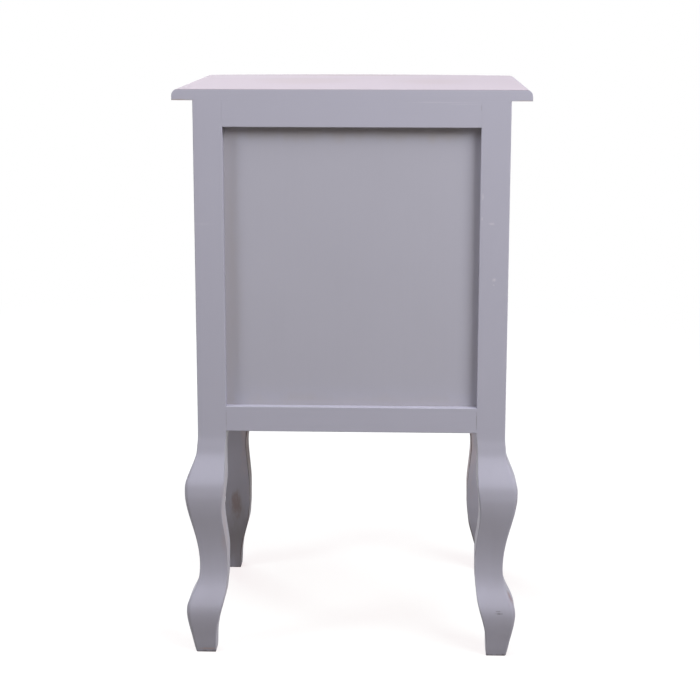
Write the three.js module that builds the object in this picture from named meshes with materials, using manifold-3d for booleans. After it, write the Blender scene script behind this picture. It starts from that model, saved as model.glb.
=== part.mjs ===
import * as THREE from 'three';
import { mergeVertices } from 'three/addons/utils/BufferGeometryUtils.js';
import Module from 'manifold-3d';

const wasm = await Module();
wasm.setup();

// Small painted chest of three drawers on curved legs, in millimetres, +Z up.
// The drawers face -Y, the panelled back faces +Y, and right is +X. The origin
// is on the floor, in the middle of the space that the chest takes up.

// Case and top
const overallHeight = 630;
const caseWidth = 338.5;
const caseDepth = 304;
const postWidth = 31.5;
const postEdgeRound = 1.2;
const postInnerRound = 0.4;
const topThickness = 12;
const topSideOverhang = 22.2;
const topFrontOverhang = 42;
const topCornerRadius = 16;
const topEdgeRound = 7;
const bowRadius = 780;

// Curved legs, each one piece with its post
const legHeight = 256.5;
const legSwell = 14.6;
const legEdgeRound = 4;
const legInnerRound = 1.6;

// Rails and panels of the back and sides
const railHeight = 28;
const railThickness = 20;
const panelThickness = 5;
const panelRecess = 10.3;
const grooveDepth = 6;
const tenonLength = 12;
const tenonThickness = 8;
const tenonRoot = 4;
const tenonShoulder = 8;
const thinRailShoulder = 2.5;
const sideTenonInset = 6;

// Rails across the front
const frontSetback = 1.5;
const frontRailDepth = 24;
const topRailHeight = 14;
const dividerHeight = 12;
const sillHeight = 20;
const apronEndDrop = 6;
const apronCentreDrop = 24;

// Runners, kickers and stops that carry and hold the drawers
const runnerWidth = 18;
const runnerHeight = 12;
const stopWidth = 40;
const stopHeight = 5;

// Drawers
const drawerCount = 3;
const frontThickness = 16;
const beadWidth = 9;
const fieldDepth = 2;
const drawerSideThickness = 10;
const drawerBackThickness = 10;
const drawerBackGap = 6;
const drawerBackDrop = 6;
const bottomThickness = 4;
const bottomHeight = 8;
const bottomGrooveDepth = 5;
const tailLength = 10;
const tailWidth = 16;
const tailFlare = 3;
const tailCount = 3;
const sideInset = 0.5;

// Knobs and screws
const knobRadius = 13;
const knobLength = 24;
const knobBaseRadius = 9;
const knobBaseThickness = 2.5;
const knobNeckRadius = 5.5;
const knobNeckLength = 6;
const knobScrewRadius = 2;
const knobScrewHeadRadius = 4.2;
const knobScrewHeadThickness = 2;
const knobScrewGrip = 12;
const topScrewRadius = 2;
const topScrewHeadRadius = 4;
const topScrewHeadThickness = 2.5;
const screwSlotWidth = 1;
const screwSlotDepth = 1;
const topScrewSink = 4;
const topScrewBite = 8;
const topScrewEnd = 30;

// Clearances: joints are glued, panels float, and drawers run
const glueGap = 0.2;
const fitGap = 0.3;
const runningGap = 0.3;
const frontGap = 1.5;
const kickerGap = 3;
const overrun = 5;

// Steps of the round forms
const bowSteps = 16;
const cornerSteps = 4;
const edgeSteps = 4;
const legSteps = 48;
const legCornerSteps = 2;
const apronSteps = 32;
const knobSegments = 20;
const knobHeadSteps = 8;
const screwSegments = 12;

// Levels and faces that the pieces share
const halfCase = caseWidth / 2;
const openHalf = halfCase - postWidth;
const postTop = overallHeight - topThickness - glueGap;
const frontReach = Math.max(topFrontOverhang, legSwell);
const spanDepth = legSwell + caseDepth + frontReach;
const rearFace = spanDepth / 2 - legSwell;
const frontFace = rearFace - caseDepth;
const halfTop = halfCase + topSideOverhang;
const frontRailRear = frontFace + frontRailDepth;
const backRailFront = rearFace - railThickness;
const lowestOpening = legHeight + sillHeight;
const openingStack = postTop - topRailHeight - lowestOpening - (drawerCount - 1) * dividerHeight;
const openingHeight = openingStack / drawerCount;
const openingPitch = openingHeight + dividerHeight;

// Finishes
const paint = new THREE.MeshStandardMaterial({ color: 0xa19fab, roughness: 0.55, metalness: 0 });
const bareWood = new THREE.MeshStandardMaterial({ color: 0xc7a779, roughness: 0.75, metalness: 0 });
const plywood = new THREE.MeshStandardMaterial({ color: 0xd2b88d, roughness: 0.8, metalness: 0 });
const brass = new THREE.MeshStandardMaterial({ color: 0x8d7448, roughness: 0.4, metalness: 1 });
const steel = new THREE.MeshStandardMaterial({ color: 0x9a9a98, roughness: 0.45, metalness: 1 });

const chest = new THREE.Group();

function addMesh(parent, name, geometry, material) {
  const mesh = new THREE.Mesh(geometry, material);
  mesh.name = name;
  parent.add(mesh);
  return mesh;
}

// A closed geometry becomes a solid that can be cut and joined
function solidOf(geometry) {
  const bare = geometry.clone();
  bare.deleteAttribute('normal');
  bare.deleteAttribute('uv');
  const merged = mergeVertices(bare);
  return new wasm.Manifold(new wasm.Mesh({
    numProp: 3,
    vertProperties: new Float32Array(merged.attributes.position.array),
    triVerts: new Uint32Array(merged.index.array),
  }));
}

function geometryOf(solid) {
  const mesh = solid.getMesh();
  const geometry = new THREE.BufferGeometry();
  geometry.setAttribute('position', new THREE.BufferAttribute(mesh.vertProperties, 3));
  geometry.setIndex(new THREE.BufferAttribute(mesh.triVerts, 1));
  geometry.computeVertexNormals();
  return geometry;
}

// A block is a box given by its low and high places along each axis
function block(x, y, z) {
  return { x, y, z };
}

function blockGeometry({ x, y, z }) {
  const geometry = new THREE.BoxGeometry(x[1] - x[0], y[1] - y[0], z[1] - z[0]);
  geometry.translate((x[0] + x[1]) / 2, (y[0] + y[1]) / 2, (z[0] + z[1]) / 2);
  return geometry;
}

function grown({ x, y, z }, gap) {
  const wider = (range) => [range[0] - gap, range[1] + gap];
  return block(wider(x), wider(y), wider(z));
}

function mirroredRange(range, side) {
  return side > 0 ? range : [-range[1], -range[0]];
}

// Prisms: a plan outline raised along Z, an X-Z outline run along Y, a Y-Z outline run along X
function planPrism(points, low, high) {
  const geometry = new THREE.ExtrudeGeometry(new THREE.Shape(points), {
    depth: high - low,
    bevelEnabled: false,
  });
  geometry.translate(0, 0, low);
  return geometry;
}

function frontPrism(points, front, back) {
  const geometry = new THREE.ExtrudeGeometry(new THREE.Shape(points), {
    depth: back - front,
    bevelEnabled: false,
  });
  geometry.rotateX(Math.PI / 2);
  geometry.translate(0, back, 0);
  return geometry;
}

function sidePrism(points, left, right) {
  const geometry = new THREE.ExtrudeGeometry(new THREE.Shape(points), {
    depth: right - left,
    bevelEnabled: false,
  });
  geometry.rotateX(Math.PI / 2);
  geometry.rotateZ(Math.PI / 2);
  geometry.translate(left, 0, 0);
  return geometry;
}

function rod(radius, low, high, segments) {
  const geometry = new THREE.CylinderGeometry(radius, radius, high - low, segments);
  geometry.rotateX(Math.PI / 2);
  geometry.translate(0, 0, (low + high) / 2);
  return geometry;
}

// Rings of points at rising heights, each running anticlockwise, skinned and closed
function loft(rings) {
  const count = rings[0].length;
  const positions = rings.flat().flatMap((point) => [point.x, point.y, point.z]);
  const indices = [];
  for (let ring = 0; ring < rings.length - 1; ring += 1) {
    for (let step = 0; step < count; step += 1) {
      const low = ring * count + step;
      const lowNext = ring * count + ((step + 1) % count);
      indices.push(low, lowNext, lowNext + count);
      indices.push(low, lowNext + count, low + count);
    }
  }
  const last = (rings.length - 1) * count;
  const cap = THREE.ShapeUtils.triangulateShape(rings[0].map((p) => new THREE.Vector2(p.x, p.y)), []);
  cap.forEach(([a, b, c]) => {
    indices.push(c, b, a);
    indices.push(last + a, last + b, last + c);
  });
  const geometry = new THREE.BufferGeometry();
  geometry.setAttribute('position', new THREE.Float32BufferAttribute(positions, 3));
  geometry.setIndex(indices);
  geometry.computeVertexNormals();
  return geometry;
}

// How far a bow of this radius stands proud of its chord at a distance from the middle
function bowDepth(radius, distance) {
  return radius - Math.sqrt(radius * radius - distance * distance);
}

// Points of a bowed front from left to right. Its ends stand at the given face, and
// inset moves the whole curve back into the wood.
function bowPoints(half, endFace, inset) {
  const centre = endFace + bowRadius - bowDepth(bowRadius, openHalf);
  const radius = bowRadius - inset;
  const points = [];
  for (let step = 0; step <= bowSteps; step += 1) {
    const x = half * ((2 * step) / bowSteps - 1);
    points.push(new THREE.Vector2(x, centre - Math.sqrt(radius * radius - x * x)));
  }
  return points;
}

// Straight back, straight ends and a bowed front, seen from above
function bowedPlan(half, endFace, back) {
  return [new THREE.Vector2(half, back), new THREE.Vector2(-half, back), ...bowPoints(half, endFace, 0)];
}

// Top board: square at the back, rounded over along the sides and the bowed front
function topOutline(inset, height) {
  const half = halfTop - inset;
  const corner = topCornerRadius - inset;
  const radius = bowRadius - inset;
  const bowCentre = frontFace - topFrontOverhang + bowRadius;
  const cornerX = half - corner;
  const cornerY = bowCentre - Math.sqrt((radius - corner) ** 2 - cornerX ** 2);
  const sweep = Math.asin(cornerX / (radius - corner));
  const right = [];
  for (let step = 0; step <= bowSteps / 2; step += 1) {
    const angle = (sweep * 2 * step) / bowSteps;
    right.push([radius * Math.sin(angle), bowCentre - radius * Math.cos(angle)]);
  }
  for (let step = 1; step <= cornerSteps; step += 1) {
    const angle = sweep + ((Math.PI / 2 - sweep) * step) / cornerSteps;
    right.push([cornerX + corner * Math.sin(angle), cornerY - corner * Math.cos(angle)]);
  }
  right.push([half, rearFace]);
  const left = right.slice(1).reverse().map(([x, y]) => [-x, y]);
  return [...left, ...right].map(([x, y]) => new THREE.Vector3(x, y, height));
}

const topBottom = overallHeight - topThickness;
const topRings = [topOutline(0, topBottom)];
for (let step = 0; step <= edgeSteps; step += 1) {
  const angle = (Math.PI / 2) * (step / edgeSteps);
  const inset = topEdgeRound * (1 - Math.cos(angle));
  topRings.push(topOutline(inset, overallHeight - topEdgeRound * (1 - Math.sin(angle))));
}

// Legs: the same curve seen from the back and from the side. Each row gives a share of
// the leg's height, of its swell past the post's outer face, and of the post's width
// from that outer face to the inner one.
const legShares = [
  [0, 0.363, 0.54],
  [0.03, 0.486, 0.556],
  [0.08, 0.664, 0.568],
  [0.136, 0.877, 0.632],
  [0.19, 1, 0.746],
  [0.226, 0.938, 0.825],
  [0.265, 0.651, 0.898],
  [0.304, 0.295, 0.933],
  [0.343, 0.089, 0.965],
  [0.382, 0.021, 0.971],
  [0.421, 0.024, 0.975],
  [0.468, 0.103, 0.975],
  [0.526, 0.284, 0.93],
  [0.585, 0.531, 0.876],
  [0.643, 0.781, 0.841],
  [0.702, 0.962, 0.873],
  [0.737, 0.99, 0.911],
  [0.772, 0.952, 0.937],
  [0.803, 0.781, 0.943],
  [0.838, 0.531, 0.943],
  [0.87, 0.301, 0.943],
  [0.9, 0.13, 0.943],
  [0.936, 0.062, 0.949],
  [0.967, 0.007, 0.978],
  [1, 0, 1],
];

// A square from its inner face to its outer face, the same along X and Y. Its outermost
// edge has a round of its own, and the other three edges are rounded less.
function legRing(inner, outer, outerRound, innerRound, height) {
  const corners = [
    [outer - outerRound, outer - outerRound, outerRound],
    [inner + innerRound, outer - innerRound, innerRound],
    [inner + innerRound, inner + innerRound, innerRound],
    [outer - innerRound, inner + innerRound, innerRound],
  ];
  return corners.flatMap(([x, y, round], quarter) => {
    const points = [];
    for (let step = 0; step <= legCornerSteps; step += 1) {
      const angle = (Math.PI / 2) * (quarter + step / legCornerSteps);
      points.push(new THREE.Vector3(x + round * Math.cos(angle), y + round * Math.sin(angle), height));
    }
    return points;
  });
}

function legGeometry() {
  const places = legShares.map(([height, swell, inner]) => (
    new THREE.Vector3(swell * legSwell, -inner * postWidth, height * legHeight)));
  const curve = new THREE.CatmullRomCurve3(places, false, 'centripetal');
  const rings = curve.getPoints(legSteps).map((place) => {
    const swell = Math.min(place.x, legSwell);
    const outerRound = postEdgeRound + (legEdgeRound * swell) / legSwell;
    const innerRound = postInnerRound + (legInnerRound * swell) / legSwell;
    return legRing(place.y, swell, outerRound, innerRound, place.z);
  });
  rings.push(legRing(-postWidth, 0, postEdgeRound, postInnerRound, postTop));
  return loft(rings);
}

// Panels stand in grooves in the posts and rails
const panelLow = legHeight + railHeight - grooveDepth + fitGap;
const panelHigh = postTop - railHeight + grooveDepth - fitGap;
const panelReach = grooveDepth - fitGap;
const backPanel = block(
  [-openHalf - panelReach, openHalf + panelReach],
  [rearFace - panelRecess - panelThickness, rearFace - panelRecess],
  [panelLow, panelHigh],
);
const postDepthLow = frontFace + postWidth;
const postDepthHigh = rearFace - postWidth;

function sidePanel(side) {
  const outer = halfCase - panelRecess;
  return block(
    mirroredRange([outer - panelThickness, outer], side),
    [postDepthLow - panelReach, postDepthHigh + panelReach],
    [panelLow, panelHigh],
  );
}

// Rails: each has a body and a tenon at either end, and each tenon has its mortise
const rails = [];

function addCrossRail(name, body, tenonFace, low, high) {
  const tenons = [-1, 1].map((side) => block(
    mirroredRange([openHalf - tenonRoot, openHalf + tenonLength], side),
    [tenonFace, tenonFace + tenonThickness],
    [low, high],
  ));
  rails.push({ name, body, tenons });
}

function addSideRail(name, side, low) {
  const body = solidOf(blockGeometry(block(
    mirroredRange([halfCase - railThickness, halfCase], side),
    [postDepthLow + glueGap, postDepthHigh - glueGap],
    [low, low + railHeight],
  )));
  const tenonOuter = halfCase - sideTenonInset;
  const ends = [
    [postDepthLow - tenonLength, postDepthLow + tenonRoot],
    [postDepthHigh - tenonRoot, postDepthHigh + tenonLength],
  ];
  const tenons = ends.map((end) => block(
    mirroredRange([tenonOuter - tenonThickness, tenonOuter], side),
    end,
    [low + tenonShoulder, low + railHeight - tenonShoulder],
  ));
  rails.push({ name, body, tenons });
}

const railHalf = openHalf - glueGap;
const topRailLow = postTop - railHeight;

[['back_bottom_rail', legHeight], ['back_top_rail', topRailLow]].forEach(([name, low]) => {
  const body = solidOf(blockGeometry(block(
    [-railHalf, railHalf], [backRailFront, rearFace], [low, low + railHeight])));
  const tenonFace = rearFace - (railThickness + tenonThickness) / 2;
  addCrossRail(name, body, tenonFace, low + tenonShoulder, low + railHeight - tenonShoulder);
});

[['left', -1], ['right', 1]].forEach(([side, sign]) => {
  addSideRail(`${side}_side_bottom_rail`, sign, legHeight);
  addSideRail(`${side}_side_top_rail`, sign, topRailLow);
});

const frontPlan = bowedPlan(railHalf, frontFace + frontSetback, frontRailRear);
const frontTenonFace = frontFace + frontSetback + (frontRailDepth - tenonThickness) / 2;

function openingLow(level) {
  return lowestOpening + level * openingPitch;
}

function addFrontRail(name, low, high) {
  const body = solidOf(planPrism(frontPlan, low, high));
  addCrossRail(name, body, frontTenonFace, low + thinRailShoulder, high - thinRailShoulder);
}

['lower', 'upper'].forEach((place, level) => {
  const low = openingLow(level) + openingHeight;
  addFrontRail(`${place}_divider_rail`, low, low + dividerHeight);
});
addFrontRail('front_top_rail', postTop - topRailHeight, postTop);

// Front apron: bowed like the rails, with a lower edge that dips in a smooth curve at the middle
const apronDipShare = 0.72;

function apronEdge(share) {
  const reach = Math.min(Math.abs(share) / apronDipShare, 1);
  const dip = (1 + Math.cos(Math.PI * reach)) / 2;
  return legHeight - apronEndDrop - (apronCentreDrop - apronEndDrop) * dip;
}

const apronOutline = [
  new THREE.Vector2(railHalf, lowestOpening),
  new THREE.Vector2(-railHalf, lowestOpening),
];
for (let step = 0; step <= apronSteps; step += 1) {
  const share = (2 * step) / apronSteps - 1;
  apronOutline.push(new THREE.Vector2(share * railHalf, apronEdge(share)));
}
const apronFront = frontFace - bowDepth(bowRadius, openHalf) - overrun;
const apronBlank = solidOf(planPrism(frontPlan, legHeight - apronCentreDrop - overrun, lowestOpening));
const apron = apronBlank.intersect(solidOf(frontPrism(apronOutline, apronFront, frontRailRear + overrun)));
addCrossRail('front_apron', apron, frontTenonFace, legHeight, lowestOpening - thinRailShoulder);

// Frame: every groove and mortise is its panel or tenon with the fitting gap round it
const panels = [backPanel, sidePanel(-1), sidePanel(1)];
const grooves = panels.map((panel) => solidOf(blockGeometry(grown(panel, fitGap))));
const mortises = rails.flatMap(({ tenons }) => tenons)
  .map((tenon) => solidOf(blockGeometry(grown(tenon, fitGap))));

function cutBy(solid, cutters) {
  return cutters.reduce((left, cutter) => left.subtract(cutter), solid);
}

// Top screws come up through the kickers into blind holes in the top board
const kickerLow = postTop - topRailHeight;
const kickerX = openHalf - runnerWidth / 2;
const screwHeadLow = kickerLow + topScrewSink;
const screwTip = topBottom + topScrewBite;
const screwPlaces = [
  ['front_left', -kickerX, frontRailRear + topScrewEnd],
  ['front_right', kickerX, frontRailRear + topScrewEnd],
  ['rear_left', -kickerX, backRailFront - topScrewEnd],
  ['rear_right', kickerX, backRailFront - topScrewEnd],
];

const topHoles = screwPlaces.map(([, x, y]) => {
  const hole = rod(topScrewRadius + fitGap, topBottom - overrun, screwTip + fitGap, screwSegments);
  hole.translate(x, y, 0);
  return solidOf(hole);
});
addMesh(chest, 'top_board', geometryOf(cutBy(solidOf(loft(topRings)), topHoles)), paint);

const corners = [
  ['rear_right_leg', halfCase, rearFace, 0],
  ['rear_left_leg', -halfCase, rearFace, 1],
  ['front_left_leg', -halfCase, frontFace, 2],
  ['front_right_leg', halfCase, frontFace, 3],
];
corners.forEach(([name, x, y, quarter]) => {
  const blank = legGeometry();
  blank.rotateZ((Math.PI / 2) * quarter);
  blank.translate(x, y, 0);
  addMesh(chest, name, geometryOf(cutBy(solidOf(blank), [...grooves, ...mortises])), paint);
});

rails.forEach(({ name, body, tenons }) => {
  const joined = tenons.reduce((left, tenon) => left.add(solidOf(blockGeometry(tenon))), body);
  addMesh(chest, name, geometryOf(cutBy(joined, grooves)), paint);
});

addMesh(chest, 'back_panel', blockGeometry(backPanel), paint);
addMesh(chest, 'left_side_panel', blockGeometry(sidePanel(-1)), paint);
addMesh(chest, 'right_side_panel', blockGeometry(sidePanel(1)), paint);

// Runners lie along the posts from the front rails to the back rails
const levelNames = ['bottom', 'middle', 'top'];
const sides = [['left', -1], ['right', 1]];
const runnerX = [openHalf - runnerWidth, railHalf];
const runnerY = [frontRailRear + glueGap, backRailFront - glueGap];

levelNames.forEach((levelName, level) => {
  const high = openingLow(level);
  sides.forEach(([side, sign]) => {
    const runner = block(mirroredRange(runnerX, sign), runnerY, [high - runnerHeight, high]);
    addMesh(chest, `${levelName}_${side}_runner`, blockGeometry(runner), bareWood);
  });
});

// Kickers lie over the top drawer's sides and hold the top board down
sides.forEach(([side, sign]) => {
  const kicker = solidOf(blockGeometry(block(mirroredRange(runnerX, sign), runnerY, [kickerLow, postTop])));
  const holes = screwPlaces.flatMap(([, x, y]) => {
    const shank = rod(topScrewRadius + fitGap, kickerLow - overrun, postTop + overrun, screwSegments);
    const seat = rod(topScrewHeadRadius + fitGap, kickerLow - overrun,
      screwHeadLow + topScrewHeadThickness + fitGap, screwSegments);
    shank.translate(x, y, 0);
    seat.translate(x, y, 0);
    return [solidOf(shank), solidOf(seat)];
  });
  addMesh(chest, `${side}_kicker`, geometryOf(cutBy(kicker, holes)), bareWood);
});

// A screw stands on its slotted head, with its shank rising along +Z
function screwGeometry(headRadius, headThickness, radius, length) {
  const profile = [
    [0, 0],
    [headRadius, 0],
    [headRadius, headThickness],
    [radius, headThickness],
    [radius, length],
    [0, length],
  ].map(([x, y]) => new THREE.Vector2(x, y));
  const blank = new THREE.LatheGeometry(profile, screwSegments);
  blank.rotateX(Math.PI / 2);
  const slot = block(
    [-headRadius - overrun, headRadius + overrun],
    [-screwSlotWidth / 2, screwSlotWidth / 2],
    [-overrun, screwSlotDepth],
  );
  return geometryOf(solidOf(blank).subtract(solidOf(blockGeometry(slot))));
}

screwPlaces.forEach(([place, x, y]) => {
  const screw = screwGeometry(
    topScrewHeadRadius, topScrewHeadThickness, topScrewRadius, screwTip - screwHeadLow);
  addMesh(chest, `${place}_top_screw`, screw, steel).position.set(x, y, screwHeadLow);
});

// Drawers, each made in its own group with its height measured from its opening's floor
const frontHalf = openHalf - frontGap;
const frontEndFace = frontFace + frontSetback;
const frontBack = frontEndFace + frontThickness;
const sideOuter = frontHalf - sideInset;
const sideInner = sideOuter - drawerSideThickness;
const drawerRear = backRailFront - drawerBackGap;
const drawerTravel = [runningGap, openingHeight - kickerGap];
const bottomLow = bottomHeight + fitGap;
const bottomTop = bottomLow + bottomThickness;
const bottomReach = bottomGrooveDepth - fitGap;
const bottomPanel = block(
  [-sideInner - bottomReach, sideInner + bottomReach],
  [frontBack - bottomReach, drawerRear],
  [bottomLow, bottomTop],
);
const faceMiddle = frontEndFace - bowDepth(bowRadius, openHalf) + fieldDepth;
const knobHeight = openingHeight / 2;

// Dovetails widen towards the drawer's face
function tailOutline(index, gap) {
  const pitch = (drawerTravel[1] - drawerTravel[0]) / tailCount;
  const middle = drawerTravel[0] + pitch * (index + 1 / 2);
  const root = tailWidth / 2 - tailFlare + gap;
  const tip = tailWidth / 2 + gap;
  const tipFace = frontBack - tailLength - gap;
  const rootFace = frontBack + overrun;
  const rootHalf = root - ((tip - root) * overrun) / tailLength;
  return [
    new THREE.Vector2(tipFace, middle - tip),
    new THREE.Vector2(rootFace, middle - rootHalf),
    new THREE.Vector2(rootFace, middle + rootHalf),
    new THREE.Vector2(tipFace, middle + tip),
  ];
}

const tailIndexes = Array.from({ length: tailCount }, (_, index) => index);

function drawerFront() {
  const blank = solidOf(planPrism(
    bowedPlan(frontHalf, frontEndFace, frontBack), frontGap, openingHeight - frontGap));
  const fieldHalf = frontHalf - beadWidth;
  const farFront = faceMiddle - fieldDepth - overrun;
  const fieldPlan = [
    ...bowPoints(fieldHalf, frontEndFace, fieldDepth),
    new THREE.Vector2(fieldHalf, farFront),
    new THREE.Vector2(-fieldHalf, farFront),
  ];
  const field = solidOf(planPrism(fieldPlan, frontGap + beadWidth, openingHeight - frontGap - beadWidth));
  const groove = solidOf(blockGeometry(grown(bottomPanel, fitGap)));
  const sockets = sides.flatMap(([, sign]) => tailIndexes.map((index) => {
    const [left, right] = mirroredRange([sideInner - fitGap, frontHalf + overrun], sign);
    return solidOf(sidePrism(tailOutline(index, fitGap), left, right));
  }));
  const hole = rod(knobScrewRadius + fitGap, faceMiddle - overrun, frontBack + overrun, screwSegments);
  hole.rotateX(-Math.PI / 2);
  hole.translate(0, 0, knobHeight);
  return geometryOf(cutBy(blank, [field, groove, ...sockets, solidOf(hole)]));
}

function drawerSide(sign) {
  const across = mirroredRange([sideInner, sideOuter], sign);
  const board = solidOf(blockGeometry(block(across, [frontBack + glueGap, drawerRear], drawerTravel)));
  const tails = tailIndexes.map((index) => solidOf(sidePrism(tailOutline(index, 0), ...across)));
  const joined = tails.reduce((left, tail) => left.add(tail), board);
  return geometryOf(joined.subtract(solidOf(blockGeometry(grown(bottomPanel, fitGap)))));
}

function drawerBack() {
  const half = sideInner - glueGap;
  return blockGeometry(block(
    [-half, half],
    [drawerRear - drawerBackThickness, drawerRear],
    [bottomTop + glueGap, drawerTravel[1] - drawerBackDrop],
  ));
}

// Knob: base, neck and rounded head, with a blind hole for its screw
function knobGeometry() {
  const bore = knobScrewRadius + fitGap;
  const boreEnd = knobScrewGrip + fitGap;
  const headLow = knobBaseThickness + knobNeckLength;
  const points = [
    [0, boreEnd],
    [bore, boreEnd],
    [bore, 0],
    [knobBaseRadius, 0],
    [knobBaseRadius, knobBaseThickness],
    [knobNeckRadius, knobBaseThickness + knobNeckLength / 3],
    [knobNeckRadius, knobBaseThickness + (knobNeckLength * 2) / 3],
  ];
  for (let step = 1; step <= knobHeadSteps; step += 1) {
    const angle = (Math.PI / 2) * ((2 * step) / knobHeadSteps - 1);
    const rise = (knobLength - headLow) * ((1 + Math.sin(angle)) / 2);
    points.push([step < knobHeadSteps ? knobRadius * Math.cos(angle) : 0, headLow + rise]);
  }
  const geometry = new THREE.LatheGeometry(points.map(([x, y]) => new THREE.Vector2(x, y)), knobSegments);
  geometry.rotateX(Math.PI);
  return geometry;
}

levelNames.forEach((levelName, level) => {
  const drawer = new THREE.Group();
  drawer.position.z = openingLow(level);
  addMesh(drawer, `${levelName}_drawer_front`, drawerFront(), paint);
  sides.forEach(([side, sign]) => {
    addMesh(drawer, `${levelName}_drawer_${side}_side`, drawerSide(sign), bareWood);
  });
  addMesh(drawer, `${levelName}_drawer_back`, drawerBack(), bareWood);
  addMesh(drawer, `${levelName}_drawer_bottom`, blockGeometry(bottomPanel), plywood);

  const knob = addMesh(drawer, `${levelName}_drawer_knob`, knobGeometry(), brass);
  knob.position.set(0, faceMiddle - glueGap, knobHeight);

  const screwHead = frontBack + glueGap + knobScrewHeadThickness;
  const screwLength = screwHead - (faceMiddle - glueGap - knobScrewGrip);
  const screw = screwGeometry(
    knobScrewHeadRadius, knobScrewHeadThickness, knobScrewRadius, screwLength);
  screw.rotateX(Math.PI / 2);
  addMesh(drawer, `${levelName}_drawer_knob_screw`, screw, steel).position.set(0, screwHead, knobHeight);
  chest.add(drawer);

  // The stop is glued to the rail below the drawer, just behind its front
  const stop = blockGeometry(block(
    [-stopWidth / 2, stopWidth / 2],
    [frontBack + fitGap, frontRailRear],
    [openingLow(level) + glueGap, openingLow(level) + glueGap + stopHeight],
  ));
  addMesh(chest, `${levelName}_drawer_stop`, stop, bareWood);
});

export default chest;
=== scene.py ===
import math

import bmesh
import bpy
from mathutils import Matrix, Vector


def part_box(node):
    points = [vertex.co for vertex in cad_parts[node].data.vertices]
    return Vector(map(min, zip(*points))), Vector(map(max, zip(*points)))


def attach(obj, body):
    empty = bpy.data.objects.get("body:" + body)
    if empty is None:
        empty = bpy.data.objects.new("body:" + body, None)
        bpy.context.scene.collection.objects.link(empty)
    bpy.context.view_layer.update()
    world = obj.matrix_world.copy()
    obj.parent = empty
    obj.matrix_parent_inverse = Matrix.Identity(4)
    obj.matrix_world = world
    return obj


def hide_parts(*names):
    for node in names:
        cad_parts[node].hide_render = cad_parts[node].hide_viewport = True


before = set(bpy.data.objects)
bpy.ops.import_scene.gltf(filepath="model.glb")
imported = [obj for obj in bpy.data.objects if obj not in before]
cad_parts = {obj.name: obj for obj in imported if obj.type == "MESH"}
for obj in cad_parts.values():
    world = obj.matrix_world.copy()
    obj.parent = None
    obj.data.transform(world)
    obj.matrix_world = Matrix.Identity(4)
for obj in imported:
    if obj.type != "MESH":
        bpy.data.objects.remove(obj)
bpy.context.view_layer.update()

# Camera: a long lens on a stand behind the chest, a little over its top. Its place, its
# turns and its lens were worked out from the straight edges and corners of the chest.
camera_place = Vector((-0.0612, 1.9970, 0.7302))
camera_yaw = 0.0341
camera_pitch = 0.2052
camera_roll = 0.0012
camera_lens = 88.36
camera_sensor = 36

camera = bpy.data.objects.new("camera", bpy.data.cameras.new("camera"))
bpy.context.scene.collection.objects.link(camera)
camera.data.lens = camera_lens
camera.data.sensor_width = camera_sensor
camera.matrix_world = Matrix.Translation(camera_place) @ (
    Matrix.Rotation(math.pi + camera_yaw, 4, "Z")
    @ Matrix.Rotation(math.pi / 2 - camera_pitch, 4, "X")
    @ Matrix.Rotation(camera_roll, 4, "Z")
)
bpy.context.scene.camera = camera
bpy.context.scene.view_settings.view_transform = "Standard"


# Top board: one wide board of painted timber that lies on the case and overhangs it at the
# sides and the front. Its rear edge is cut square, the others are rounded over, and its
# satin paint is rubbed thin here and there, down to a brown undercoat along the edges.
def feed(tree, node, sockets):
    """Gives a node's inputs values or other nodes' sockets."""
    for key, value in sockets.items():
        if isinstance(value, bpy.types.NodeSocket):
            tree.links.new(value, node.inputs[key])
        else:
            node.inputs[key].default_value = value


def put(tree, kind, sockets=None, **settings):
    """Adds a node, sets it up and feeds its inputs."""
    made = tree.nodes.new(kind)
    for name, value in settings.items():
        setattr(made, name, value)
    feed(tree, made, sockets or {})
    return made


def figure(tree, operation, *values):
    """One step of arithmetic on numbers or sockets."""
    return put(tree, "ShaderNodeMath", dict(enumerate(values)), operation=operation).outputs[0]


def vectors(tree, operation, *values):
    """One step of arithmetic on places."""
    return put(tree, "ShaderNodeVectorMath", dict(enumerate(values)), operation=operation).outputs


def spread(tree, value, low, high, bottom=0.0, top=1.0):
    """Turns a value that runs from low to high into a smooth one from bottom to top."""
    sockets = {"Value": value, "From Min": low, "From Max": high, "To Min": bottom, "To Max": top}
    return put(tree, "ShaderNodeMapRange", sockets, interpolation_type="SMOOTHSTEP").outputs[0]


def blended(tree, share, first, second):
    """Two colours mixed by a share."""
    return put(tree, "ShaderNodeMix", {0: share, 6: first, 7: second}, data_type="RGBA").outputs[2]


def cloud(tree, place, waves, detail=2.0, roughness=0.5):
    """Soft noise between 0 and 1 with so many waves in a metre."""
    sockets = {"Vector": place, "Scale": waves, "Detail": detail, "Roughness": roughness}
    return put(tree, "ShaderNodeTexNoise", sockets).outputs[0]


def moved(tree, place, centre):
    """A place measured from a centre."""
    sockets = {"Vector": place, "Location": [-value for value in centre]}
    return put(tree, "ShaderNodeMapping", sockets).outputs[0]


def drawn_out(tree, place, along, share):
    """A place on which patterns are drawn out along one axis, as grain is."""
    scale = [share if axis == along else 1 for axis in "XYZ"]
    return put(tree, "ShaderNodeMapping", {"Vector": place, "Scale": scale}).outputs[0]


def relief(tree, height, depth, strength, over=None, invert=False):
    """The normals of a surface that a pattern is raised on, or sunk in, over another relief."""
    sockets = {"Height": height, "Distance": depth, "Strength": strength}
    if over:
        sockets["Normal"] = over
    return put(tree, "ShaderNodeBump", sockets, invert=invert).outputs[0]


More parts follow.
